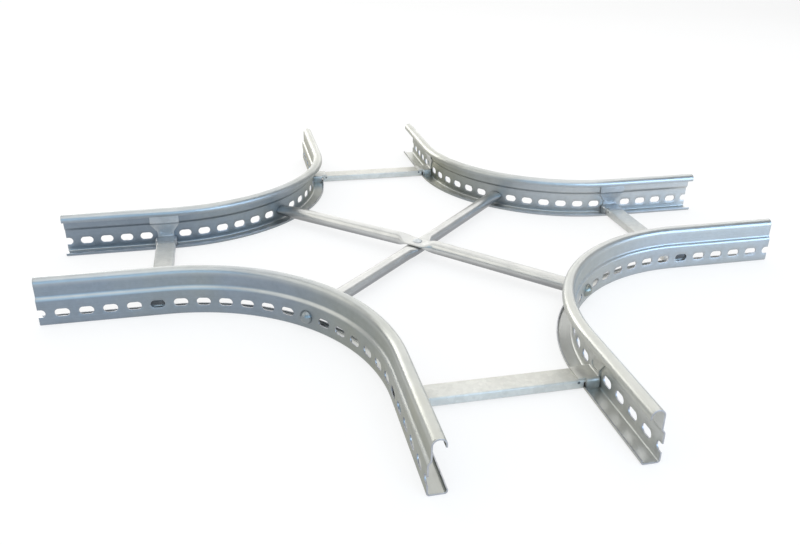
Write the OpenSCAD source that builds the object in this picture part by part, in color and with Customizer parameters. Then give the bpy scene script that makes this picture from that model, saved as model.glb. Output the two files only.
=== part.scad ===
// Four-way cross for a ladder-type cable tray: four bent side rails, four rungs
// in pressed end brackets, and two brace tubes riveted where they cross.
// Origin at the middle of the cross on its underside, +Z up, front arm along -Y.

/* [Arms] */
// Clear width between the rails of an arm
clear_w = 200; // [150:5:300]
// Bend radius of the rails, at the outer face of the web
bend_r = 212; // [190:1:260]
// Straight length wanted past the bend, rounded to whole slot pitches
straight_wanted = 133; // [125:1:200]

/* [Rail section] */
// Height of the rails
rail_h = 55; // [52:0.5:70]
// Thickness of the rail sheet
sheet_t = 1.5; // [1:0.1:2]
// Inner radius of the flange bends
bend_in_r = 1.5; // [0.5:0.25:2]
// Width of the bottom flange, over the web and the lip
flange_w = 18; // [15:0.5:21]
// Height of the lip on the flange's inner edge
lip_h = 4.5; // [4:0.25:6]
// Height at which the web steps in
crease_z = 31; // [27:0.5:33]
// Height of the sloping part of the step
crease_rise = 3; // [2:0.25:4]
// Step of the web towards the cables
crease_step = 2.75; // [1.5:0.25:3.5]
// Outer radius of the bead along the top
bead_r = 6.75; // [5.5:0.25:7]
// Straight length of the bead's free edge below its round
bead_edge = 2.5; // [1:0.25:3]

/* [Rail slots] */
// Spacing of the slots along the rail
slot_pitch = 25; // [22:0.5:30]
// Length of a slot
slot_l = 15.5; // [12:0.5:17]
// Height of a slot
slot_h = 9; // [7.5:0.25:9]
// Height of the slot centres
slot_z = 15; // [14:0.25:16]

/* [Rungs] */
// Width of a rung
rung_w = 24; // [20:0.5:26]
// Height of a rung
rung_h = 10; // [9:0.25:11]
// Thickness of the rung sheet
rung_t = 1.5; // [1:0.1:2]
// Outer corner radius of a rung
rung_corner_r = 2; // [1:0.25:3]
// Width of the rung's inturned lower lips
rung_lip = 5; // [3:0.5:7]
// Number of slot pitches from the rail's end to a rung
rung_place_count = 5; // [4:1:5]
// Height of the slit in the rung's side walls that a rail's lip passes through
slit_h = 8; // [6:0.25:8.5]

/* [Rung brackets] */
// Thickness of the bracket sheet
bracket_t = 1.5; // [1.2:0.1:2]
// Inner radius of the bracket's bend
bracket_bend_r = 1.5; // [0.5:0.25:2]
// Width of the bracket's head, under the bead
head_w = 37; // [32:0.5:44]
// Width of the bracket's waist, beside the slots
waist_w = 21; // [18:0.5:23]
// Height at which the head starts to narrow
head_z = 30; // [27:0.5:32]
// Height of the narrow end of the slope
waist_z = 19.5; // [18:0.25:21]
// Reach of the tongue on top of the rung, from the web's outer face
tongue_l = 24; // [20:0.5:28]
// Radius of the lower corner of the bracket's side walls, beside the web
cap_corner_r = 3; // [1:0.25:5]
// Length of the button that is pressed into the slot
button_l = 9; // [7:0.25:10]
// Height of that button
button_h = 3.2; // [2:0.1:3.4]
// Length of the dimple pressed into the waist
dimple_l = 13; // [9:0.5:15]
// Height of that dimple
dimple_h = 7; // [4:0.25:8]
// Height at which the dimple is centred
dimple_z = 19.5; // [18.5:0.25:21]
// Depth of the dimple
dimple_depth = 0.9; // [0.3:0.1:1]

/* [Brace tubes] */
// Diameter of the tubes
tube_d = 17; // [15:0.5:19]
// Wall of the tubes
tube_wall = 1.5; // [1:0.1:1.75]
// Height that the tube ends are pressed to
tube_end_h = 12; // [11.5:0.25:13]
// Height that the lower tube is pressed to at the crossing
lower_mid_h = 9; // [7:0.25:11]
// Height that the upper tube is pressed to at the crossing
upper_mid_h = 4; // [3:0.25:6]
// Height at which the two tubes meet
meet_z = 17.5; // [16:0.25:19]
// Length of the flat at the crossing
flat_l = 24; // [20:1:34]
// Length over which a tube goes from flat to round beside the crossing
press_l = 15; // [10:1:30]
// Length over which a tube goes from round to its pressed end
end_l = 26; // [18:1:36]

/* [Fasteners] */
// Diameter of the tube bolts
bolt_d = 8; // [6:0.5:8]
// Length of a tube bolt below its head
bolt_l = 22; // [16:1:40]
// Diameter of the bolt heads
bolt_head_d = 15.5; // [13:0.5:18]
// Height of the bolt heads
bolt_head_h = 6; // [4:0.25:7]
// Diameter of the rivet at the crossing
rivet_d = 6; // [4:0.5:8]
// Diameter of the rivet's heads
rivet_head_d = 13; // [11:0.5:16]
// Height of the rivet's heads
rivet_head_h = 2.5; // [1.5:0.25:3.5]

/* [Clearances] */
// Play of a fastener in its hole, across the diameter
hole_play = 0.6; // [0.3:0.1:1]
// Gap between pieces that stand close without touching
seat_gap = 0.5; // [0.3:0.1:1]
// Overrun of cutting shapes
cut = 1; // [0.5:0.1:1.4]

/* [Hidden] */

arc_fn = 180;
small_fn = 48;
tube_sides = 40;
press_steps = 8;
// Smallest inner corner that is still drawn round
least_r = 0.1;
rail_colour = "#a9b0b6";
rung_colour = "#b9bdbe";
bracket_colour = "#b1b6b8";
tube_colour = "#c9c8c0";
bolt_colour = "#9aa0a6";

// Bend centre of a rail, from the middle of the cross along X and along Y
web_out = clear_w / 2 + sheet_t;
bend_c = web_out + bend_r;
// Bend radius and half arc at the middle of the sheet, where the slot pitch holds
mid_r = bend_r + sheet_t / 2;
arc_half = mid_r * PI / 4;
half_places = round((arc_half + straight_wanted) / slot_pitch);
straight_l = half_places * slot_pitch - arc_half;
arm_end = bend_c + straight_l;

flange_bend_r = bend_in_r + sheet_t;
crease_tan = tan(atan(crease_step / crease_rise) / 2);
crease_top = crease_z + crease_rise;
bead_z = rail_h - bead_r;
bead_u = crease_step + bead_r;

// Rung places: along the rail from the middle of its bend, and along the arm
rung_s = (half_places - rung_place_count) * slot_pitch;
rung_x = arm_end - rung_place_count * slot_pitch;
rung_top = sheet_t + rung_h;
rung_half = clear_w / 2 - bracket_t - seat_gap;

bracket_bend_out = bracket_bend_r + bracket_t;
bracket_top = bead_z - seat_gap;
cap_l = flange_w - sheet_t - seat_gap;
cap_start = sheet_t + bracket_bend_out;
cap_from = sheet_t + 2 * seat_gap;
button_z = slot_z + slot_h / 2 - seat_gap - button_h / 2;
button_out = seat_gap;

// Distance from the middle of the cross to the face that a tube end meets
tube_reach = bend_c * sqrt(2) - bend_r - sheet_t;
tube_half = tube_reach - seat_gap / 2;
bore_stop = flat_l / 2 + press_l + tube_d / 2;
// A flat head bridges the hollow of the bent web by this much
head_seat = bolt_head_d * bolt_head_d / (8 * bend_r);

// Sheet bend: a quarter or half ring about the origin, kept to one box of the plane
module ring_part(inner, outer, from, size) {
    intersection() {
        difference() {
            circle(outer, $fn = small_fn);
            circle(inner, $fn = small_fn);
        }
        translate(from) square(size);
    }
}

// Section of a rail: x from the outer face towards the cables, y up
module rail_section() {
    r = flange_bend_r;
    translate([r, 0]) square([flange_w - 2 * r, sheet_t]);
    translate([r, r]) ring_part(bend_in_r, r, [-r, -r], [r, r]);
    translate([flange_w - r, r]) ring_part(bend_in_r, r, [0, -r], [r, r]);
    translate([flange_w - sheet_t, r]) square([sheet_t, lip_h - r]);
    slope = sheet_t * crease_tan;
    polygon([
        [0, r], [0, crease_z], [crease_step, crease_top], [crease_step, bead_z],
        [crease_step + sheet_t, bead_z], [crease_step + sheet_t, crease_top - slope],
        [sheet_t, crease_z - slope], [sheet_t, r]
    ]);
    translate([bead_u, bead_z]) ring_part(bead_r - sheet_t, bead_r, [-bead_r, 0], [2 * bead_r, bead_r]);
    translate([bead_u + bead_r - sheet_t, bead_z - bead_edge]) square([sheet_t, bead_edge]);
}

// Place on the back right rail at a length s from the middle of its bend:
// x from the outer face towards the cables, y along the rail to the right arm, z up
module at_rail(s) {
    on_arc = min(max(s, -arc_half), arc_half);
    translate([bend_c, bend_c, 0])
        rotate([0, 0, 225 + on_arc / mid_r * 180 / PI])
            translate([bend_r, s - on_arc, 0])
                children();
}

module slot_outline(length, height) {
    straight = length - height;
    square([straight, height], center = true);
    for (side = [-1, 1]) translate([side * straight / 2, 0]) circle(d = height, $fn = small_fn);
}

// A slot shape that runs along x, long side along y
module slot_block(length, height, depth) {
    rotate([90, 0, 90]) linear_extrude(depth) slot_outline(length, height);
}

module rail_sweep() {
    translate([bend_c, bend_c, 0]) {
        rotate_extrude(angle = 90, start = 180, $fn = arc_fn) translate([bend_r, 0]) rail_section();
        rotate([90, 0, 180]) linear_extrude(straight_l) translate([bend_r, 0]) rail_section();
        translate([straight_l, 0, 0]) rotate([90, 0, -90])
            linear_extrude(straight_l) translate([bend_r, 0]) rail_section();
    }
}

module rail_cuts() {
    for (place = [-half_places : half_places]) {
        at_rail(place * slot_pitch) translate([-cut, 0, slot_z]) {
            if (place == 0)
                rotate([0, 90, 0]) cylinder(d = bolt_d + hole_play, h = sheet_t + 2 * cut, $fn = small_fn);
            else
                slot_block(slot_l, slot_h, sheet_t + 2 * cut);
        }
    }
}

module rail(turn) {
    color(rail_colour) rotate([0, 0, turn * 90]) difference() {
        rail_sweep();
        rail_cuts();
    }
}

// Section of a rung, open at the bottom between two inturned lips
module rung_section() {
    outer_r = rung_corner_r;
    inner_r = max(outer_r - rung_t, least_r);
    half = rung_w / 2;
    difference() {
        union() {
            translate([-half, outer_r]) square([rung_w, rung_h - 2 * outer_r]);
            translate([outer_r - half, 0]) square([rung_w - 2 * outer_r, rung_h]);
            for (x = [-1, 1], y = [-1, 1])
                translate([x * (half - outer_r), rung_h / 2 + y * (rung_h / 2 - outer_r)])
                    circle(outer_r, $fn = small_fn);
        }
        translate([rung_t - half, rung_t + inner_r])
            square([rung_w - 2 * rung_t, rung_h - 2 * (rung_t + inner_r)]);
        translate([rung_t + inner_r - half, rung_t])
            square([rung_w - 2 * (rung_t + inner_r), rung_h - 2 * rung_t]);
        for (x = [-1, 1], y = [-1, 1])
            translate([x * (half - rung_t - inner_r), rung_h / 2 + y * (rung_h / 2 - rung_t - inner_r)])
                circle(inner_r, $fn = small_fn);
        translate([rung_lip - half, -cut]) square([rung_w - 2 * rung_lip, rung_t + 2 * cut]);
    }
}

// A rung across the right arm, slit where the rails' lips pass
module rung(turn) {
    slit_w = flange_w + seat_gap - cap_l;
    color(rung_colour) rotate([0, 0, turn * 90]) translate([rung_x, 0, sheet_t]) difference() {
        rotate([90, 0, 0]) translate([0, 0, -rung_half]) linear_extrude(2 * rung_half) rung_section();
        for (side = [0, 180]) rotate([0, 0, side]) {
            translate([-rung_w, web_out - cap_l - slit_w, -cut])
                cube([2 * rung_w, slit_w, slit_h + cut]);
        }
    }
}

// Side view of the bracket's strip: tongue, bend, and plate that follows the web's step
module bracket_strip() {
    web_in = sheet_t;
    web_slope = sheet_t * crease_tan;
    slope = web_slope + bracket_t * crease_tan;
    bend_z = rung_top + bracket_bend_out;
    translate([cap_start, rung_top]) square([tongue_l - cap_start, bracket_t]);
    translate([cap_start, bend_z]) ring_part(bracket_bend_r, bracket_bend_out,
        [-bracket_bend_out, -bracket_bend_out], [bracket_bend_out, bracket_bend_out]);
    polygon([
        [web_in, bend_z], [web_in, crease_z - web_slope],
        [web_in + crease_step, crease_top - web_slope], [web_in + crease_step, bracket_top],
        [web_in + crease_step + bracket_t, bracket_top],
        [web_in + crease_step + bracket_t, crease_top - slope],
        [web_in + bracket_t, crease_z - slope], [web_in + bracket_t, bend_z]
    ]);
}

// Face view of the bracket: waist between the slots, head under the bead
module bracket_outline() {
    polygon([
        [-waist_w / 2, 0], [-waist_w / 2, waist_z], [-head_w / 2, head_z], [-head_w / 2, rail_h],
        [head_w / 2, rail_h], [head_w / 2, head_z], [waist_w / 2, waist_z], [waist_w / 2, 0]
    ]);
}

// Side view of the cap, rounded at the lower corner beside the web
module cap_side() {
    r = cap_corner_r;
    high = rung_top + bracket_t - sheet_t;
    translate([cap_from, sheet_t + r]) square([cap_l - cap_from, high - r]);
    translate([cap_from + r, sheet_t]) square([cap_l - cap_from - r, high]);
    translate([cap_from + r, sheet_t + r]) circle(r, $fn = small_fn);
}

// Cap over the rung's end: two side walls and rounded edges, cleared behind the bend
module bracket_cap() {
    inner = rung_w / 2;
    outer = inner + bracket_t;
    edge = rung_top + bracket_t - bracket_bend_out;
    flat = outer - bracket_bend_out;
    difference() {
        intersection() {
            translate([cap_from, 0, 0]) rotate([90, 0, 90]) linear_extrude(cap_l - cap_from) {
                for (side = [0, 1]) mirror([side, 0]) {
                    translate([inner, sheet_t]) square([bracket_t, edge - sheet_t]);
                    difference() {
                        translate([flat, edge]) circle(bracket_bend_out, $fn = small_fn);
                        translate([-outer, -edge]) square([outer + inner, rung_top + edge]);
                    }
                }
                translate([-flat, rung_top]) square([2 * flat, bracket_t]);
            }
            translate([0, rung_w, 0]) rotate([90, 0, 0]) linear_extrude(2 * rung_w) cap_side();
        }
        translate([0, -waist_w / 2, 0]) cube([cap_start, waist_w, rail_h]);
    }
}

// Bracket on the back right rail, in the right arm or, with side -1, in the back arm
module bracket(turn, side) {
    color(bracket_colour) rotate([0, 0, turn * 90]) at_rail(side * rung_s) difference() {
        union() {
            intersection() {
                translate([0, head_w, 0]) rotate([90, 0, 0]) linear_extrude(2 * head_w) bracket_strip();
                rotate([90, 0, 90]) linear_extrude(2 * tongue_l) bracket_outline();
            }
            bracket_cap();
            translate([button_out, 0, button_z])
                slot_block(button_l, button_h, sheet_t + bracket_t - button_out);
        }
        translate([button_out + bracket_t, 0, button_z])
            slot_block(button_l - bracket_t, button_h - bracket_t, bracket_bend_out);
        translate([sheet_t + bracket_t - dimple_depth, 0, dimple_z])
            slot_block(dimple_l, dimple_h, bracket_bend_out);
    }
}

// Pressed tube: half height, half width, squareness and height of its section at q from the middle
function ease(x) = let (k = min(max(x, 0), 1)) k * k * (3 - 2 * k);
function pressed(q) = 1 - ease((q - flat_l / 2) / press_l);
function crimped(q) = ease((q - tube_half + end_l) / end_l);
function half_high(q, mid_h) = let (r = tube_d / 2)
    r + (mid_h / 2 - r) * pressed(q) + (tube_end_h / 2 - r) * crimped(q);
function half_wide(q, mid_h) = sqrt(tube_d * tube_d / 2 - pow(half_high(q, mid_h), 2));
function power(q) = 2 / (2 + 3 * pressed(q));
function axis_z(q, mid_z) = slot_z + (mid_z - slot_z) * (1 - q / tube_half);
function rounded(c, p) = sign(c) * pow(abs(c), p);
function tube_ring(s, mid_h, mid_z, inset) = let (q = abs(s), p = power(q)) [
    for (k = [0 : tube_sides - 1]) let (a = (k + 0.5) * 360 / tube_sides) [
        s,
        (half_wide(q, mid_h) - inset) * rounded(cos(a), p),
        axis_z(q, mid_z) + (half_high(q, mid_h) - inset) * rounded(sin(a), p)
    ]
];
// Stations along half a tube, from the middle to the end
stations = concat(
    [for (k = [0 : 1]) k * flat_l / 2],
    [for (k = [1 : press_steps]) flat_l / 2 + k * press_l / press_steps],
    [for (k = [0 : press_steps]) tube_half - end_l + k * end_l / press_steps]
);
bore_stations = [for (q = concat([bore_stop], stations)) if (q >= bore_stop) q];

// Tube along x: the rings run from one bore's bottom out, over the outside, and into the other bore
module tube(mid_h, mid_z) {
    last = len(bore_stations) - 1;
    rings = concat(
        [for (k = [0 : last]) tube_ring(-bore_stations[k], mid_h, mid_z, tube_wall)],
        [for (k = [len(stations) - 1 : -1 : 1]) tube_ring(-stations[k], mid_h, mid_z, 0)],
        [for (q = stations) tube_ring(q, mid_h, mid_z, 0)],
        [for (k = [last : -1 : 0]) tube_ring(bore_stations[k], mid_h, mid_z, tube_wall)]
    );
    n = tube_sides;
    difference() {
        polyhedron(
            points = [for (ring = rings) each ring],
            faces = concat(
                [[for (k = [0 : n - 1]) k]],
                [for (j = [0 : len(rings) - 2], k = [0 : n - 1])
                    [j * n + k, (j + 1) * n + k, (j + 1) * n + (k + 1) % n, j * n + (k + 1) % n]],
                [[for (k = [n - 1 : -1 : 0]) (len(rings) - 1) * n + k]]
            )
        );
        cylinder(d = rivet_d + hole_play, h = rail_h, $fn = small_fn);
    }
}

module tube_lower() {
    color(tube_colour) rotate([0, 0, 45]) tube(lower_mid_h, meet_z - lower_mid_h / 2);
}

module tube_upper() {
    color(tube_colour) rotate([0, 0, -45]) tube(upper_mid_h, meet_z + upper_mid_h / 2);
}

// Domed head on the plane z = 0, growing up
module dome(width, height) {
    r = (width * width / 4 + height * height) / (2 * height);
    rotate_extrude($fn = arc_fn) intersection() {
        translate([0, height - r]) circle(r, $fn = arc_fn);
        square([width / 2, height]);
    }
}

module tube_bolt(turn) {
    color(bolt_colour) rotate([0, 0, turn * 90]) at_rail(0) translate([-head_seat, 0, slot_z]) {
        rotate([0, -90, 0]) dome(bolt_head_d, bolt_head_h);
        rotate([0, 90, 0]) cylinder(d = bolt_d, h = bolt_l, $fn = small_fn);
    }
}

module centre_rivet() {
    low = meet_z - lower_mid_h;
    high = meet_z + upper_mid_h;
    color(bolt_colour) {
        translate([0, 0, high]) dome(rivet_head_d, rivet_head_h);
        translate([0, 0, low]) cylinder(d = rivet_d, h = high - low, $fn = small_fn);
        translate([0, 0, low]) rotate([180, 0, 0]) dome(rivet_head_d, rivet_head_h);
    }
}

rail(0);  // rail_back_right
rail(1);  // rail_back_left
rail(2);  // rail_front_left
rail(3);  // rail_front_right
rung(0);  // rung_right
rung(1);  // rung_back
rung(2);  // rung_left
rung(3);  // rung_front
bracket(0, 1);  // bracket_right_back
bracket(0, -1);  // bracket_back_right
bracket(1, 1);  // bracket_back_left
bracket(1, -1);  // bracket_left_back
bracket(2, 1);  // bracket_left_front
bracket(2, -1);  // bracket_front_left
bracket(3, 1);  // bracket_front_right
bracket(3, -1);  // bracket_right_front
tube_lower();
tube_upper();
tube_bolt(0);  // tube_bolt_back_right
tube_bolt(1);  // tube_bolt_back_left
tube_bolt(2);  // tube_bolt_front_left
tube_bolt(3);  // tube_bolt_front_right
centre_rivet();
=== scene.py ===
import math

import bmesh
import bpy
from mathutils import Matrix, Vector


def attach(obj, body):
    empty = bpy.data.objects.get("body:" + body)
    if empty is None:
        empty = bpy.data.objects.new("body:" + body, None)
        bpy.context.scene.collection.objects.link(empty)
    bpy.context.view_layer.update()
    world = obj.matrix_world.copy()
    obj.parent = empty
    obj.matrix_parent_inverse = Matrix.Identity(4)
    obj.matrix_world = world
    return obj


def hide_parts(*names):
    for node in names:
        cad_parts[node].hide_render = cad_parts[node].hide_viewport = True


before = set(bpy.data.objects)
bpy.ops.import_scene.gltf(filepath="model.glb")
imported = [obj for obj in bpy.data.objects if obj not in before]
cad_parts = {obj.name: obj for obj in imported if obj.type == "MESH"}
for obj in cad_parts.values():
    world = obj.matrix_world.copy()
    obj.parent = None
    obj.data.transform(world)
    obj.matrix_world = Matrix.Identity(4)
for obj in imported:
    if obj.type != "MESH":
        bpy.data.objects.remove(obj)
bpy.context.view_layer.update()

bl_info = {
    "name": "Cable Tray Cross",
    "version": (1, 0, 0),
    "blender": (4, 5, 0),
    "location": "3D View > Sidebar > Tray Cross",
    "description": "Models and finishes a ladder-type cable tray cross in zinc-coated steel",
    "category": "Object",
}

# Rails in the order of their quarter turns about the middle of the cross
RAILS = ("rail_back_right", "rail_back_left", "rail_front_left", "rail_front_right")
RUNGS = tuple(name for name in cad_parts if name.startswith("rung_"))
BRACKETS = tuple(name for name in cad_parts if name.startswith("bracket_"))
BOLTS = tuple(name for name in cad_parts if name.startswith("tube_bolt_"))
RIVETS = ("centre_rivet",)


def length(name, description, default):
    return bpy.props.FloatProperty(name=name, description=description, default=default, min=0, unit="LENGTH")


def colour(name, description, default):
    return bpy.props.FloatVectorProperty(
        name=name, description=description, default=default, size=3, min=0, max=1, subtype="COLOR")


class RailSettings(bpy.types.PropertyGroup):
    """Sizes of the roll-formed side rails"""

    clear_width: length("Clear Width", "Width between the rails of an arm", 0.2)
    bend_radius: length("Bend Radius", "Radius of the bend at the outer face", 0.212)
    height: length("Height", "Height from the floor to the top of the bead", 0.055)
    sheet: length("Sheet", "Thickness of the sheet", 0.0015)
    fold_radius: length("Fold Radius", "Inner radius of the folds beside the flange", 0.0015)
    flange_width: length("Flange Width", "Width of the flange under the rungs", 0.018)
    lip_height: length("Lip Height", "Height of the flange's upturned lip", 0.0045)
    crease_height: length("Crease Height", "Height of the outer face below its step", 0.031)
    crease_rise: length("Crease Rise", "Height of the step in the face", 0.003)
    crease_step: length("Crease Step", "Depth of the step in the face", 0.00275)
    crease_radius: length("Crease Radius", "Rounding of the step", 0.004)
    bead_radius: length("Bead Radius", "Outer radius of the rolled top edge", 0.00675)
    bead_edge: length("Bead Edge", "Straight end of the rolled top edge", 0.0025)
    slot_pitch: length("Slot Pitch", "Distance between slots", 0.025)
    slot_length: length("Slot Length", "Length of a slot", 0.0155)
    slot_height: length("Slot Height", "Height of a slot", 0.009)
    slot_centre: length("Slot Centre", "Height of the slots' middle line", 0.015)
    bolt_hole: length("Bolt Hole", "Diameter of the hole in the middle of the bend", 0.0086)
    places: bpy.props.IntProperty(
        name="Places", description="Slot places from the middle of a rail to its end", default=12, min=2)
    edge: length("Edge", "Rounding of the cut edges", 0.00025)


class TubeSettings(bpy.types.PropertyGroup):
    """Sizes of the brace tubes that cross in the middle"""

    diameter: length("Diameter", "Diameter of the round tube", 0.017)
    wall: length("Wall", "Thickness of the tube's wall", 0.0015)
    half_length: length("Half Length", "Length from the crossing to an end", 0.22961)
    end_height: length("End Height", "Height of the pressed ends", 0.012)
    end_length: length("End Length", "Length over which an end is pressed", 0.026)
    end_centre: length("End Centre", "Height of the ends' middle line", 0.015)
    lower_height: length("Lower Height", "Height of the lower tube at the crossing", 0.009)
    upper_height: length("Upper Height", "Height of the upper tube at the crossing", 0.004)
    meeting: length("Meeting", "Height at which the tubes lie on each other", 0.0175)
    flat_length: length("Flat Length", "Length of the pressed flat at the crossing", 0.018)
    press_length: length("Press Length", "Length from the flat to the round tube", 0.019)
    sides: bpy.props.IntProperty(name="Sides", description="Sides of the tube's outline", default=64, min=8)


class FinishSettings(bpy.types.PropertyGroup):
    """Edges of the pressed and turned pieces, and the zinc's colours on every piece, among them painted
    light, painted highlights and painted shade
    """

    edge: length("Edge", "Rounding of the edges", 0.0003)
    # Cool and warm are partly random zinc tone and partly painted light: the warm tone comes in toward the
    # front and back ends as painted warm side light, and the cool tone's blue stands for painted blue front
    # light
    cool: colour("Cool Zinc", "Bluish zinc of the rails and bolts", (0.248, 0.284, 0.324))
    warm: colour("Warm Zinc", "Yellowish zinc toward the front and back ends", (0.300, 0.299, 0.236))
    # Painted light: the rails get lighter toward the right front, and more so on their inner faces
    fresh: colour("Fresh Zinc", "Lighter zinc of the rails toward the right", (0.585, 0.590, 0.578))
    # Painted highlight on the rails' bead, crease and flange
    rubbed: colour("Rubbed Zinc", "Bead, crease and flange of the rails", (0.550, 0.555, 0.540))
    cut: colour("Cut Edge", "Edges of all pieces", (0.430, 0.435, 0.460))
    # Painted shade: the dark colour of the bracket faces seen through the rails' slots, and of the punched
    # dots on the rungs
    seam: colour("Seam", "Brackets behind the slots, and punch marks", (0.120, 0.122, 0.125))
    rung_cool: colour("Cool Rung", "Cool patches of the rungs", (0.610, 0.606, 0.580))
    rung_warm: colour("Warm Rung", "Warm patches of the rungs", (0.620, 0.606, 0.560))
    pressed_cool: colour("Cool Bracket", "Cool patches of the brackets and the rivet", (0.480, 0.500, 0.515))
    pressed_warm: colour("Warm Bracket", "Warm patches of the brackets and the rivet", (0.550, 0.545, 0.510))
    # The tubes are two-tone: the darker colours below are their undersides, and tube_top is a painted
    # highlight on their tops
    tube_cool: colour("Cool Tube", "Cool patches of the tubes' undersides", (0.290, 0.293, 0.303))
    tube_warm: colour("Warm Tube", "Warm patches of the tubes' undersides", (0.310, 0.300, 0.275))
    tube_top: colour("Tube Top", "Rubbed tops of the tubes", (0.745, 0.743, 0.715))


class StageSettings(bpy.types.PropertyGroup):
    """Floor and camera of the studio"""

    floor_size: length("Floor Size", "Width and depth of the floor", 60)
    backdrop: length("Backdrop", "Height to which the floor turns up at its far edges", 6)
    azimuth: bpy.props.FloatProperty(
        name="Azimuth", description="Turn of the camera round the cross",
        default=math.radians(-12.90), subtype="ANGLE")
    elevation: bpy.props.FloatProperty(
        name="Elevation", description="Height of the camera above the horizon",
        default=math.radians(25.76), subtype="ANGLE")
    roll: bpy.props.FloatProperty(
        name="Roll", description="Tilt of the camera about its own axis",
        default=math.radians(0.77), subtype="ANGLE")
    target: bpy.props.FloatVectorProperty(
        name="Target", description="Point that the camera looks at",
        default=(-0.0400, -0.07525, 0.0150), size=3, subtype="XYZ", unit="LENGTH")
    distance: length("Distance", "Distance of the camera from its target", 0.94825)
    lens: bpy.props.FloatProperty(
        name="Lens", description="Focal length on a 36 mm sensor", default=35.18, unit="CAMERA")


def activate(piece):
    bpy.ops.object.select_all(action="DESELECT")
    piece.select_set(True)
    bpy.context.view_layer.objects.active = piece


def edit(piece, mode="VERT"):
    """Opens the piece in edit mode with all of it selected"""
    activate(piece)
    bpy.ops.object.mode_set(mode="EDIT")
    bpy.ops.mesh.select_mode(type=mode)
    bpy.ops.mesh.select_all(action="SELECT")


def close():
    bpy.ops.object.mode_set(mode="OBJECT")


def pick(piece, kind, test):
    """Selects the vertices or edges that pass the test"""
    bpy.ops.mesh.select_mode(type="VERT" if kind == "verts" else "EDGE")
    bpy.ops.mesh.select_all(action="DESELECT")
    shape = bmesh.from_edit_mesh(piece.data)
    for item in getattr(shape, kind):
        if test(item):
            item.select_set(True)
    bmesh.update_edit_mesh(piece.data)


def modify(piece, kind, **values):
    """Adds a modifier with these values and applies it"""
    modifier = piece.modifiers.new(kind.lower(), kind)
    for key, value in values.items():
        setattr(modifier, key, value)
    activate(piece)
    bpy.ops.object.modifier_apply(modifier=modifier.name)


def duplicate(piece, name):
    twin = piece.copy()
    twin.data = piece.data.copy()
    twin.name = twin.data.name = name
    bpy.context.scene.collection.objects.link(twin)
    return twin


def smooth(piece, angle):
    activate(piece)
    bpy.ops.object.shade_smooth_by_angle(angle=math.radians(angle))


def hand_over(piece, node):
    """Puts the piece in the place of a node of the construction"""
    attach(piece, "root")
    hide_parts(node)


def arc(across, up, radius, start, stop, steps):
    angles = [math.radians(start + (stop - start) * k / steps) for k in range(steps + 1)]
    return [(across + radius * math.cos(a), up + radius * math.sin(a)) for a in angles]


def sweep(name, points, pitch, count):
    """Draws the points across the sheet and pulls them along X, ten steps to a slot pitch"""
    bpy.ops.object.select_all(action="DESELECT")
    bpy.ops.mesh.primitive_plane_add(size=pitch)
    strip = bpy.context.active_object
    strip.name = name
    edit(strip)
    bpy.ops.mesh.merge(type="CENTER")
    bpy.ops.transform.translate(value=(0, *points[0]))
    for (y, z), (next_y, next_z) in zip(points[:-1], points[1:]):
        bpy.ops.mesh.extrude_vertices_move(
            TRANSFORM_OT_translate={"value": (0, next_y - y, next_z - z)})
    bpy.ops.mesh.select_all(action="SELECT")
    bpy.ops.mesh.extrude_region_move(TRANSFORM_OT_translate={"value": (count * pitch, 0, 0)})
    for cuts in (count - 1, 9):
        pick(strip, "edges", lambda e: abs(e.verts[0].co.x - e.verts[1].co.x) > pitch / 2)
        bpy.ops.mesh.subdivide(number_cuts=cuts)
    close()
    return strip


def punched_panel(name, pitch, low, high, centre, hole_length, hole_height):
    """One slot pitch of the flat face with a hole in it"""
    bpy.ops.object.select_all(action="DESELECT")
    bpy.ops.mesh.primitive_plane_add(size=1, location=(0, 0, (low + high) / 2), rotation=(math.pi / 2, 0, 0))
    panel = bpy.context.active_object
    panel.name = name
    panel.scale = (pitch, high - low, 1)
    bpy.ops.object.transform_apply()
    edit(panel)
    bpy.ops.mesh.delete(type="ONLY_FACE")
    bpy.ops.mesh.select_all(action="SELECT")
    bpy.ops.mesh.subdivide(number_cuts=9)
    bpy.ops.mesh.primitive_circle_add(
        vertices=40, radius=hole_height / 2, location=(0, 0, centre),
        rotation=(math.pi / 2, math.radians(4.5), 0))
    stretch = (hole_length - hole_height) / 2
    for side in (-1, 1):
        pick(panel, "verts", lambda v: (
            v.co.x * side > 0 and abs(v.co.x) < pitch / 2.1 and abs(v.co.z - centre) < hole_height / 1.9))
        bpy.ops.transform.translate(value=(side * stretch, 0, 0))
    bpy.ops.mesh.select_all(action="SELECT")
    bpy.ops.mesh.bridge_edge_loops(number_cuts=1, interpolation="LINEAR", smoothness=0)
    close()
    return panel


def rail_path(s):
    """Curve that the middle of a rail's sheet follows, from the right arm to the back arm"""
    middle = s.clear_width / 2 + s.sheet + s.bend_radius
    radius = s.bend_radius + s.sheet / 2
    side = middle - radius
    end = middle + s.places * s.slot_pitch - radius * math.pi / 4
    third = (end - middle) / 3
    pull = radius * 4 / 3 * math.tan(math.pi / 8)
    bpy.ops.object.select_all(action="DESELECT")
    bpy.ops.curve.primitive_bezier_curve_add()
    path = bpy.context.active_object
    path.data.resolution_u = 64
    path.data.twist_mode = "Z_UP"
    points = path.data.splines[0].bezier_points
    points.add(2)
    places = (
        ((end + third, side), (end, side), (end - third, side)),
        ((middle + third, side), (middle, side), (middle - pull, side)),
        ((side, middle - pull), (side, middle), (side, middle + third)),
        ((side, end - third), (side, end), (side, end + third)),
    )
    for point, (left, centre, right) in zip(points, places):
        point.handle_left_type = point.handle_right_type = "FREE"
        point.handle_left, point.co, point.handle_right = (*left, 0), (*centre, 0), (*right, 0)
    return path


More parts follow.
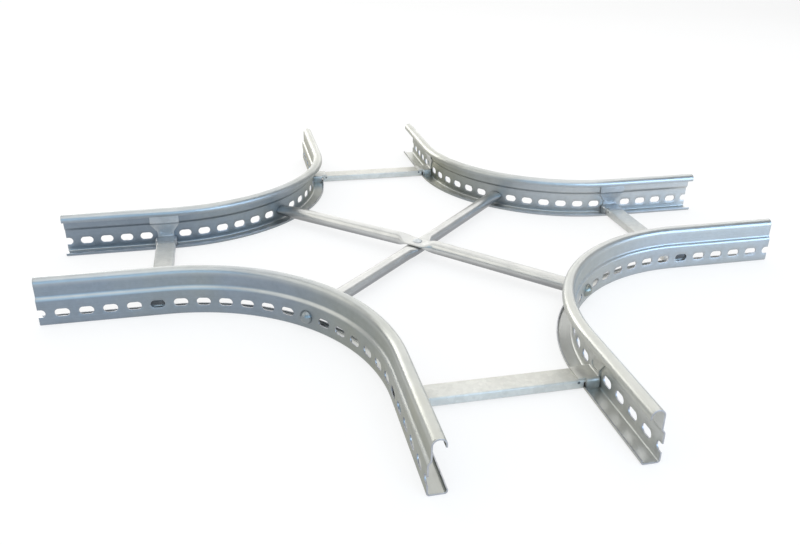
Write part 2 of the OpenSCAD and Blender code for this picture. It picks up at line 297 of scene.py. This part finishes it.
def straight_rail(s):
    """The rail's sheet before it is bent: a strip below the slots, one above them, and the punched face"""
    half = s.sheet / 2
    fold = s.fold_radius + s.sheet
    bead_up = s.height - s.bead_radius
    turn = math.atan(s.crease_step / s.crease_rise)
    drop = half * math.tan(turn / 2)
    tangent = s.crease_radius * math.tan(turn / 2)
    crease_low = s.crease_height - drop - tangent
    crease_high = s.crease_height + s.crease_rise - drop + tangent
    turn = math.degrees(turn)
    count = 2 * s.places

    below = [(s.flange_width - s.sheet, s.lip_height)]
    below += arc(s.flange_width - fold - half, fold, fold - half, 0, -90, 6)
    below += arc(fold - half, fold, fold - half, -90, -180, 6)
    above = arc(s.crease_radius, crease_low, s.crease_radius, 180, 180 - turn, 4)
    above += arc(s.crease_step - s.crease_radius, crease_high, s.crease_radius, -turn, 0, 4)
    above += arc(s.crease_step + s.bead_radius - half, bead_up, s.bead_radius - half, 180, 0, 16)
    above.append((above[-1][0], bead_up - s.bead_edge))
    rail = sweep("rail", below, s.slot_pitch, count)
    pieces = [sweep("above", above, s.slot_pitch, count)]

    face = (s.slot_pitch, fold, crease_low, s.slot_centre)
    bolt_place = punched_panel("bolt_place", *face, s.bolt_hole, s.bolt_hole)
    bolt_place.location.x = s.places * s.slot_pitch
    pieces.append(bolt_place)
    panel = punched_panel("panel", *face, s.slot_length, s.slot_height)
    for place, name in ((0, "start"), (count, "stop")):
        notch = duplicate(panel, name)
        edit(notch)
        bpy.ops.mesh.bisect(
            plane_co=(0, 0, 0), plane_no=(1, 0, 0), clear_inner=place == 0, clear_outer=place > 0)
        close()
        notch.location.x = place * s.slot_pitch
        pieces.append(notch)
    for place, row in ((1, panel), (s.places + 1, duplicate(panel, "row"))):
        modify(row, "ARRAY", count=s.places - 1, use_relative_offset=False, use_constant_offset=True,
               constant_offset_displace=(s.slot_pitch, 0, 0))
        row.location.x = place * s.slot_pitch
        pieces.append(row)

    activate(rail)
    for piece in pieces:
        piece.select_set(True)
    bpy.ops.object.join()
    edit(rail)
    bpy.ops.mesh.remove_doubles(threshold=s.sheet / 50)
    bpy.ops.mesh.normals_make_consistent(inside=False)
    bpy.ops.uv.cube_project(cube_size=1)
    close()
    return rail


class TRAYCROSS_OT_rails(bpy.types.Operator):
    """Models a side rail, bends it, and sets one in each corner of the cross"""

    bl_idname = "traycross.rails"
    bl_label = "Side Rails"

    def execute(self, context):
        s = context.scene.traycross_rail
        rail = straight_rail(s)
        finish = context.scene.traycross_finish
        sheet = {"cool": finish.cool, "warm": finish.warm, "stain": 0.06, "crystals": 0.06,
                 "roughness": 0.42, "along": True}
        # Heights between which the painted highlight comes in (1) or goes out (-1): a band on the crease and
        # the bead's crest, and the flange
        crest = ((0.0295, 0.0315, 1), (0.0330, 0.0352, -1), (0.0440, 0.0540, 1))
        flange = ((-0.0020, -0.0010, 1), (0.0020, 0.0060, -1))
        for material in (
            # Both rail finishes carry painted light toward the right front, stronger on the inside, and
            # painted highlights at the heights above
            zinc_material("rail_zinc", **sheet, fresh=(finish.fresh, 0.45), rub=(finish.rubbed, crest)),
            zinc_material("rail_inside", **sheet, fresh=(finish.fresh, 0.8), rub=(finish.rubbed, flange)),
            cut_edge("rail_edge", finish),
        ):
            rail.data.materials.append(material)
        path = rail_path(s)
        modify(rail, "CURVE", object=path, deform_axis="POS_X")
        bpy.data.objects.remove(path)
        modify(rail, "SOLIDIFY", thickness=s.sheet, offset=0, use_even_offset=True,
               use_quality_normals=True, material_offset=1, material_offset_rim=2)
        modify(rail, "BEVEL", width=s.edge, segments=2, limit_method="ANGLE",
               angle_limit=math.radians(50), material=2)
        smooth(rail, 40)
        for quarter, node in enumerate(RAILS):
            twin = duplicate(rail, "side_" + node)
            activate(twin)
            twin.rotation_euler.z = quarter * math.pi / 2
            bpy.ops.object.transform_apply()
            hand_over(twin, node)
        bpy.data.objects.remove(rail)
        return {"FINISHED"}


def ease(x):
    x = min(max(x, 0), 1)
    return x * x * (3 - 2 * x)


def tube_ring(s, place, flat_height, crossing):
    """Outline of a tube's outside at a place along it: round, or pressed flat at the same girth"""
    out = abs(place)
    radius = s.diameter / 2
    pressed = 1 - ease((out - s.flat_length / 2) / s.press_length)
    high = radius + (flat_height / 2 - radius) * pressed
    high += (s.end_height / 2 - radius) * ease((out - s.half_length + s.end_length) / s.end_length)
    wide = math.sqrt(s.diameter ** 2 / 2 - high ** 2)
    power = 2 / (2 + 1.5 * pressed)
    centre = s.end_centre + (crossing - s.end_centre) * (1 - out / s.half_length)
    ring = []
    for k in range(s.sides):
        angle = (k + 0.5) * 2 * math.pi / s.sides
        c, d = math.cos(angle), math.sin(angle)
        ring.append((place, wide * math.copysign(abs(c) ** power, c),
                     centre + high * math.copysign(abs(d) ** power, d)))
    return ring


class TRAYCROSS_OT_tubes(bpy.types.Operator):
    """Models the two brace tubes, pressed flat where they cross and at their ends"""

    bl_idname = "traycross.tubes"
    bl_label = "Brace Tubes"

    def execute(self, context):
        s = context.scene.traycross_tube
        finish = context.scene.traycross_finish
        # Painted highlight along the tubes' tops, over a darker underside
        zinc = zinc_material(
            "tube_zinc", finish.tube_cool, finish.tube_warm, stain=0.05, crystals=0.03, roughness=0.38,
            bump=0.03, rub=(finish.tube_top, ((0.0125, 0.0200, 1),)))
        edge = cut_edge("tube_edge", finish)
        flat, press, end = s.flat_length / 2, s.press_length, s.half_length - s.end_length
        places = [flat * k / 3 for k in range(4)] + [flat + press * k / 14 for k in range(1, 15)]
        places += [flat + press + (end - flat - press) * k / 10 for k in range(1, 11)]
        places += [end + s.end_length * k / 14 for k in range(1, 15)]
        places = [-p for p in reversed(places[1:])] + places
        for node, turn, height, crossing in (
            ("tube_lower", 45, s.lower_height, s.meeting - s.lower_height / 2),
            ("tube_upper", -45, s.upper_height, s.meeting + s.upper_height / 2),
        ):
            points = [p for place in places for p in tube_ring(s, place, height, crossing)]
            faces = [
                (i + k, i + (k + 1) % s.sides, i + s.sides + (k + 1) % s.sides, i + s.sides + k)
                for i in range(0, s.sides * (len(places) - 1), s.sides) for k in range(s.sides)]
            mesh = bpy.data.meshes.new("brace_" + node)
            mesh.from_pydata(points, [], faces)
            tube = bpy.data.objects.new("brace_" + node, mesh)
            context.scene.collection.objects.link(tube)
            mesh.materials.append(zinc)
            mesh.materials.append(edge)
            edit(tube)
            bpy.ops.mesh.normals_make_consistent(inside=False)
            close()
            modify(tube, "SOLIDIFY", thickness=s.wall, offset=-1, material_offset_rim=1)
            modify(tube, "BEVEL", width=s.wall / 5, segments=2, limit_method="ANGLE",
                   angle_limit=math.radians(60), material=1)
            smooth(tube, 50)
            activate(tube)
            tube.rotation_euler.z = math.radians(turn)
            bpy.ops.object.transform_apply()
            hand_over(tube, node)
        return {"FINISHED"}


def soften(node, prefix, materials, edge, angle=35):
    """Copies a node's shape, rounds its edges and puts the copy in the node's place"""
    piece = duplicate(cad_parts[node], prefix + node)
    piece.data.materials.clear()
    for material in materials:
        piece.data.materials.append(material)
    for face in piece.data.polygons:
        face.material_index = 0
    edit(piece)
    bpy.ops.mesh.remove_doubles(threshold=edge / 100)
    bpy.ops.mesh.customdata_custom_splitnormals_clear()
    bpy.ops.mesh.dissolve_limited(angle_limit=math.radians(0.5))
    close()
    modify(piece, "BEVEL", width=edge, segments=2, limit_method="ANGLE", angle_limit=math.radians(angle),
           material=len(materials) - 1)
    smooth(piece, 35)
    hand_over(piece, node)
    return piece


class TRAYCROSS_OT_rungs(bpy.types.Operator):
    """Rounds the edges of the rungs and gives them their finish, with painted shade in the punched dots
    beside the brackets
    """

    bl_idname = "traycross.rungs"
    bl_label = "Rungs"

    def execute(self, context):
        finish = context.scene.traycross_finish
        materials = (
            zinc_material("rung_zinc", finish.rung_cool, finish.rung_warm, roughness=0.45, metallic=0.45,
                          punched=(finish.seam, 0.0780, 0.0089, 0.0017)),
            cut_edge("rung_edge", finish))
        for node in RUNGS:
            soften(node, "ladder_", materials, finish.edge)
        return {"FINISHED"}


class TRAYCROSS_OT_brackets(bpy.types.Operator):
    """Rounds the edges of the end brackets and gives them their finish, with painted shade on the faces seen
    through the rails' slots
    """

    bl_idname = "traycross.brackets"
    bl_label = "End Brackets"

    def execute(self, context):
        finish = context.scene.traycross_finish
        materials = (
            zinc_material("bracket_zinc", finish.pressed_cool, finish.pressed_warm,
                          roughness=0.42, metallic=0.75),
            # Dark painted shade for the faces seen through the slots
            zinc_material("bracket_seam", finish.seam, finish.seam, stain=0.4, roughness=0.6),
            cut_edge("bracket_edge", finish))
        for node in BRACKETS:
            bracket = soften(node, "pressed_", materials, finish.edge)
            middle = sum((Vector(corner) for corner in bracket.bound_box), Vector()) / 8
            if abs(middle.x) > abs(middle.y):
                outward = Vector((0, math.copysign(1, middle.y), 0))
            else:
                outward = Vector((math.copysign(1, middle.x), 0, 0))
            # Faces that look out through the rails' slots get the dark painted shade
            for face in bracket.data.polygons:
                if face.normal.dot(outward) > 0.95:
                    face.material_index = 1
        return {"FINISHED"}


class TRAYCROSS_OT_fasteners(bpy.types.Operator):
    """Rounds the edges of the tube bolts and the rivet and gives them their finish"""

    bl_idname = "traycross.fasteners"
    bl_label = "Fasteners"

    def execute(self, context):
        finish = context.scene.traycross_finish
        edge = cut_edge("fastener_edge", finish)
        bright = {"roughness": 0.3, "bump": 0.03}
        for nodes, zinc in (
            (BOLTS, zinc_material("bolt_zinc", finish.cool, finish.warm, **bright)),
            (RIVETS, zinc_material("rivet_zinc", finish.pressed_cool, finish.pressed_warm, **bright)),
        ):
            for node in nodes:
                soften(node, "turned_", (zinc, edge), finish.edge)
        return {"FINISHED"}


def add(tree, kind, inputs=None, **settings):
    """Adds a shader node; inputs are constants or the sockets that feed them"""
    node = tree.nodes.new("ShaderNode" + kind)
    for key, value in settings.items():
        setattr(node, key, value)
    for key, value in (inputs or {}).items():
        if isinstance(value, bpy.types.NodeSocket):
            tree.links.new(value, node.inputs[key])
        else:
            node.inputs[key].default_value = value
    return node


def math_node(tree, operation, a, b):
    return add(tree, "Math", {0: a, 1: b}, operation=operation).outputs[0]


def remap(tree, value, low, high, to_low, to_high):
    return add(tree, "MapRange", {
        "Value": value, "From Min": low, "From Max": high, "To Min": to_low, "To Max": to_high,
    }).outputs["Result"]


def blend(tree, factor, a, b, mode="MIX"):
    return add(tree, "Mix", {0: factor, 6: a, 7: b}, data_type="RGBA", blend_type=mode).outputs[2]


def noise(tree, vector, scale, detail, roughness=0.5):
    return add(tree, "TexNoise", {
        "Vector": vector, "Scale": scale, "Detail": detail, "Roughness": roughness}).outputs["Fac"]


def new_group(name, inputs, outputs):
    tree = bpy.data.node_groups.new(name, "ShaderNodeTree")
    for side, sockets in (("INPUT", inputs), ("OUTPUT", outputs)):
        for label, kind in sockets:
            tree.interface.new_socket(label, in_out=side, socket_type="NodeSocket" + kind)
    return tree, tree.nodes.new("NodeGroupInput").outputs, tree.nodes.new("NodeGroupOutput").inputs


def zinc_coat():
    """Zinc skin: cool and warm zones with painted warm light toward the ends, a painted lighter zone toward
    the right front, faint crystals, dull stains and a fine grain
    """
    if "zinc_coat" in bpy.data.node_groups:
        return bpy.data.node_groups["zinc_coat"]
    tree, given, out = new_group(
        "zinc_coat",
        (("Vector", "Vector"), ("Cool", "Color"), ("Warm", "Color"), ("Stain", "Float"),
         ("Crystals", "Float"), ("Roughness", "Float"), ("Fresh", "Color"), ("Freshness", "Float")),
        (("Color", "Color"), ("Roughness", "Float"), ("Height", "Float")))
    place = add(tree, "SeparateXYZ", {"Vector": given["Vector"]}).outputs
    # Painted warm light toward the front and back ends, broken up by random cloudy patches
    reach = add(tree, "Math", {0: place["Y"]}, operation="ABSOLUTE").outputs[0]
    ends = remap(tree, reach, 0.10, 0.27, 0, 1)
    cloudy = remap(tree, noise(tree, given["Vector"], 7, 3), 0.35, 0.65, -0.3, 0.3)
    patches = add(tree, "Math", {0: ends, 1: cloudy}, operation="ADD", use_clamp=True).outputs[0]
    skin = blend(tree, patches, given["Cool"], given["Warm"])
    # Painted light: a lighter colour toward the right front
    corner = math_node(tree, "SUBTRACT", place["X"], math_node(tree, "MULTIPLY", place["Y"], 0.3))
    fresh = math_node(tree, "MULTIPLY", remap(tree, corner, 0.05, 0.24, 0, 1), given["Freshness"])
    skin = blend(tree, fresh, skin, given["Fresh"])
    cells = add(tree, "TexVoronoi", {"Vector": given["Vector"], "Scale": 260}).outputs["Color"]
    cell = remap(tree, add(tree, "SeparateColor", {"Color": cells}).outputs[0], 0, 1, -0.5, 0.5)
    crystal = math_node(tree, "MULTIPLY", cell, given["Crystals"])
    cloud = noise(tree, given["Vector"], 48, 6, 0.62)
    stain = math_node(tree, "MULTIPLY", remap(tree, cloud, 0.42, 0.68, 0, 1), given["Stain"])
    shade = math_node(tree, "SUBTRACT", math_node(tree, "ADD", crystal, 1), stain)
    tree.links.new(blend(tree, 1, skin, shade, "MULTIPLY"), out["Color"])
    dull = math_node(tree, "ADD", given["Roughness"], math_node(tree, "MULTIPLY", stain, 0.6))
    tree.links.new(math_node(tree, "ADD", dull, math_node(tree, "MULTIPLY", crystal, 0.5)), out["Roughness"])
    grain = noise(tree, given["Vector"], 1400, 2)
    tree.links.new(math_node(tree, "ADD", math_node(tree, "MULTIPLY", grain, 0.35), cloud), out["Height"])
    return tree


def draw_lines():
    """Faint lines that the rollers leave along a sheet, from coordinates that run with it"""
    if "draw_lines" in bpy.data.node_groups:
        return bpy.data.node_groups["draw_lines"]
    tree, given, out = new_group(
        "draw_lines", (("Vector", "Vector"), ("Amount", "Float")), (("Shade", "Float"), ("Height", "Float")))
    stretched = add(tree, "Mapping", {"Vector": given["Vector"], "Scale": (6, 1100, 1)}).outputs["Vector"]
    lines = noise(tree, stretched, 1, 3, 0.6)
    spread = math_node(tree, "MULTIPLY", math_node(tree, "SUBTRACT", lines, 0.5), given["Amount"])
    tree.links.new(math_node(tree, "ADD", spread, 1), out["Shade"])
    tree.links.new(lines, out["Height"])
    return tree


def rubbed_height():
    """Mask of the zone between two heights above the floor, for a painted highlight, broken up by noise"""
    if "rubbed_height" in bpy.data.node_groups:
        return bpy.data.node_groups["rubbed_height"]
    tree, given, out = new_group(
        "rubbed_height", (("Vector", "Vector"), ("From", "Float"), ("To", "Float")), (("Mask", "Float"),))
    up = add(tree, "SeparateXYZ", {"Vector": given["Vector"]}).outputs["Z"]
    zone = add(tree, "MapRange", {
        "Value": up, "From Min": given["From"], "From Max": given["To"]}, interpolation_type="SMOOTHSTEP")
    broken = remap(tree, noise(tree, given["Vector"], 40, 3), 0.3, 0.7, 0.75, 1)
    tree.links.new(math_node(tree, "MULTIPLY", zone.outputs["Result"], broken), out["Mask"])
    return tree


def punch_marks():
    """Mask of the small punched dots on the rungs' sides, beside the brackets"""
    if "punch_marks" in bpy.data.node_groups:
        return bpy.data.node_groups["punch_marks"]
    tree, given, out = new_group(
        "punch_marks", (("Vector", "Vector"), ("Along", "Float"), ("Up", "Float"), ("Radius", "Float")),
        (("Mask", "Float"),))
    place = add(tree, "SeparateXYZ", {"Vector": given["Vector"]}).outputs
    x, y = (add(tree, "Math", {0: place[axis]}, operation="ABSOLUTE").outputs[0] for axis in "XY")
    away = add(tree, "CombineXYZ", {
        "X": math_node(tree, "SUBTRACT", math_node(tree, "MINIMUM", x, y), given["Along"]),
        "Y": math_node(tree, "SUBTRACT", place["Z"], given["Up"])}).outputs["Vector"]
    distance = add(tree, "VectorMath", {0: away}, operation="LENGTH").outputs["Value"]
    rim = math_node(tree, "MULTIPLY", given["Radius"], 0.7)
    tree.links.new(add(tree, "MapRange", {
        "Value": distance, "From Min": given["Radius"], "From Max": rim}).outputs["Result"], out["Mask"])
    return tree


def place_group(tree, group, inputs):
    return add(tree, "Group", inputs, node_tree=group).outputs


def zinc_material(name, cool, warm, stain=0.10, crystals=0.10, roughness=0.46, bump=0.08, metallic=0.88,
                  fresh=None, rub=None, punched=None, along=False):
    """Zinc finish. The colours of the painted light, the painted highlight and the punched dots' painted
    shade come with a share, heights or a place
    """
    material = bpy.data.materials.new(name)
    material.use_nodes = True
    tree = material.node_tree
    shader = tree.nodes["Principled BSDF"]
    shader.inputs["Metallic"].default_value = metallic
    coordinates = add(tree, "TexCoord").outputs
    skin = {
        "Vector": coordinates["Object"], "Cool": (*cool, 1), "Warm": (*warm, 1), "Stain": stain,
        "Crystals": crystals, "Roughness": roughness}
    # Painted light mixed in toward the right front
    if fresh:
        lit_colour, share = fresh
        skin.update({"Fresh": (*lit_colour, 1), "Freshness": share})
    coat = place_group(tree, zinc_coat(), skin)
    tone, height, dull = coat["Color"], coat["Height"], coat["Roughness"]
    if along:
        lines = place_group(tree, draw_lines(), {"Vector": coordinates["UV"], "Amount": 0.22})
        tone = blend(tree, 1, tone, lines["Shade"], "MULTIPLY")
        height = math_node(tree, "ADD", height, math_node(tree, "MULTIPLY", lines["Height"], 0.8))
    # Painted highlight between the given heights, which also lowers the roughness
    if rub:
        bright, zones = rub
        mask = 0
        for low, high, share in zones:
            zone = place_group(tree, rubbed_height(), {
                "Vector": coordinates["Object"], "From": low, "To": high})["Mask"]
            mask = add(tree, "Math", {0: zone, 1: share, 2: mask}, operation="MULTIPLY_ADD").outputs[0]
        tone = blend(tree, math_node(tree, "MULTIPLY", mask, 0.7), tone, (*bright, 1))
        dull = math_node(tree, "SUBTRACT", dull, math_node(tree, "MULTIPLY", mask, 0.10))
    # Painted shade in the punched dots, which the bump also dents
    if punched:
        dark, along_rung, up, radius = punched
        mask = place_group(tree, punch_marks(), {
            "Vector": coordinates["Object"], "Along": along_rung, "Up": up, "Radius": radius})["Mask"]
        tone = blend(tree, mask, tone, (*dark, 1))
        height = math_node(tree, "SUBTRACT", height, mask)
    relief = add(tree, "Bump", {"Height": height, "Strength": bump, "Distance": 0.0003})
    tree.links.new(tone, shader.inputs["Base Color"])
    tree.links.new(dull, shader.inputs["Roughness"])
    tree.links.new(relief.outputs["Normal"], shader.inputs["Normal"])
    return material


def cut_edge(name, finish):
    return zinc_material(name, finish.cut, finish.cut, stain=0.3, roughness=0.3)


def floor_material():
    """White floor that keeps a faint shadow and shows white in the camera and in the metal"""
    material = bpy.data.materials.new("floor_white")
    material.use_nodes = True
    tree = material.node_tree
    paint = tree.nodes["Principled BSDF"]
    paint.inputs["Roughness"].default_value = 1
    paint.inputs["Specular IOR Level"].default_value = 0
    coordinates = add(tree, "TexCoord").outputs["Object"]
    mottle = remap(tree, noise(tree, coordinates, 3, 4), 0.3, 0.7, 0, 1)
    tree.links.new(
        blend(tree, mottle, (0.87, 0.87, 0.87, 1), (0.89, 0.89, 0.89, 1)), paint.inputs["Base Color"])
    rays = add(tree, "LightPath").outputs
    seen = math_node(tree, "MAXIMUM", rays["Is Camera Ray"], rays["Is Glossy Ray"])
    seen = math_node(tree, "MAXIMUM", seen, rays["Is Transmission Ray"])
    white = add(tree, "Emission", {"Strength": 1})
    mix = add(tree, "MixShader", {
        0: math_node(tree, "MULTIPLY", seen, 0.75), 1: paint.outputs[0], 2: white.outputs[0]})
    tree.links.new(mix.outputs[0], tree.nodes["Material Output"].inputs["Surface"])
    return material


# Soft lights aimed at the cross: name, place, width, depth, radiance and tint
LIGHTS = (
    ("light_sky", (0.3, 1.45, 1.95), 4.3, 2.3, 1.4, (1, 0.99, 0.965)),
    ("light_top", (0, -0.2, 2.6), 3.2, 1.5, 1.35, (1, 0.99, 0.965)),
    ("light_high", (-0.1, -1.5, 2.1), 2.8, 1.4, 1.5, (0.95, 0.98, 1)),
    ("light_back", (0.25, 3.2, 0.82), 6.5, 1.4, 1.45, (1, 0.99, 0.96)),
    ("light_window", (-1.55, 2.35, 0.80), 1.7, 1.2, 2.6, (1, 0.99, 0.95)),
    ("light_left", (-2.1, -0.2, 1.3), 2.4, 1.9, 1.4, (1, 0.98, 0.92)),
    ("light_right", (2.1, 0.5, 1.1), 2.0, 1.6, 0.4, (1, 0.975, 0.965)),
    ("light_front", (-0.6, -2.3, 0.75), 2.8, 1.3, 1.5, (0.34, 0.68, 1)),
    ("light_low", (1.25, -1.6, 0.45), 2.2, 0.9, 4.8, (0.48, 0.71, 1)),
)


class TRAYCROSS_OT_stage(bpy.types.Operator):
    """Adds the floor with its backdrop, the lights, the world and the camera"""

    bl_idname = "traycross.stage"
    bl_label = "Stage"

    def execute(self, context):
        s = context.scene.traycross_stage
        bpy.ops.object.select_all(action="DESELECT")
        bpy.ops.mesh.primitive_plane_add(size=s.floor_size)
        floor = context.active_object
        floor.name = "floor"
        floor.data.materials.append(floor_material())
        edit(floor, "EDGE")
        bpy.ops.mesh.extrude_edges_move(TRANSFORM_OT_translate={"value": (0, 0, s.backdrop)})
        close()

        world = bpy.data.worlds.new("studio")
        context.scene.world = world
        world.use_nodes = True
        background = world.node_tree.nodes["Background"].inputs
        background["Color"].default_value = (0.84, 0.93, 1, 1)
        background["Strength"].default_value = 0.15
        for label, place, width, depth, radiance, tint in LIGHTS:
            bpy.ops.object.light_add(type="AREA", location=place)
            light = context.active_object
            light.name = label
            light.data.shape = "RECTANGLE"
            light.data.size, light.data.size_y = width, depth
            light.data.energy = radiance * math.pi * width * depth
            light.data.color = tint
            light.rotation_euler = (-Vector(place)).to_track_quat("-Z", "Y").to_euler()

        back = Vector((math.sin(s.azimuth) * math.cos(s.elevation),
                       -math.cos(s.azimuth) * math.cos(s.elevation), math.sin(s.elevation)))
        right = Vector((0, 0, 1)).cross(back).normalized()
        level = Matrix((right, back.cross(right), back)).transposed().to_4x4()
        data = bpy.data.cameras.new("camera")
        data.lens = s.lens
        camera = bpy.data.objects.new("camera", data)
        context.scene.collection.objects.link(camera)
        place = Matrix.Translation(Vector(s.target) + back * s.distance)
        camera.matrix_world = place @ level @ Matrix.Rotation(s.roll, 4, "Z")
        context.scene.camera = camera
        context.scene.view_settings.view_transform = "Standard"
        return {"FINISHED"}


OPERATORS = (
    TRAYCROSS_OT_rails, TRAYCROSS_OT_tubes, TRAYCROSS_OT_rungs, TRAYCROSS_OT_brackets,
    TRAYCROSS_OT_fasteners, TRAYCROSS_OT_stage,
)
SETTINGS = {
    "traycross_rail": RailSettings, "traycross_tube": TubeSettings,
    "traycross_finish": FinishSettings, "traycross_stage": StageSettings,
}


class TRAYCROSS_PT_panel(bpy.types.Panel):
    """Lists the steps that make the cross"""

    bl_idname = "TRAYCROSS_PT_panel"
    bl_label = "Tray Cross"
    bl_space_type = "VIEW_3D"
    bl_region_type = "UI"
    bl_category = "Tray Cross"

    def draw(self, context):
        for operator in OPERATORS:
            self.layout.operator(operator.bl_idname)


def register():
    for cls in (*SETTINGS.values(), *OPERATORS, TRAYCROSS_PT_panel):
        bpy.utils.register_class(cls)
    for name, cls in SETTINGS.items():
        setattr(bpy.types.Scene, name, bpy.props.PointerProperty(type=cls))


def unregister():
    for name in SETTINGS:
        delattr(bpy.types.Scene, name)
    for cls in reversed((*SETTINGS.values(), *OPERATORS, TRAYCROSS_PT_panel)):
        bpy.utils.unregister_class(cls)


def main():
    register()
    bpy.ops.traycross.rails()
    bpy.ops.traycross.tubes()
    bpy.ops.traycross.rungs()
    bpy.ops.traycross.brackets()
    bpy.ops.traycross.fasteners()
    bpy.ops.traycross.stage()


if __name__ == "__main__":
    main()
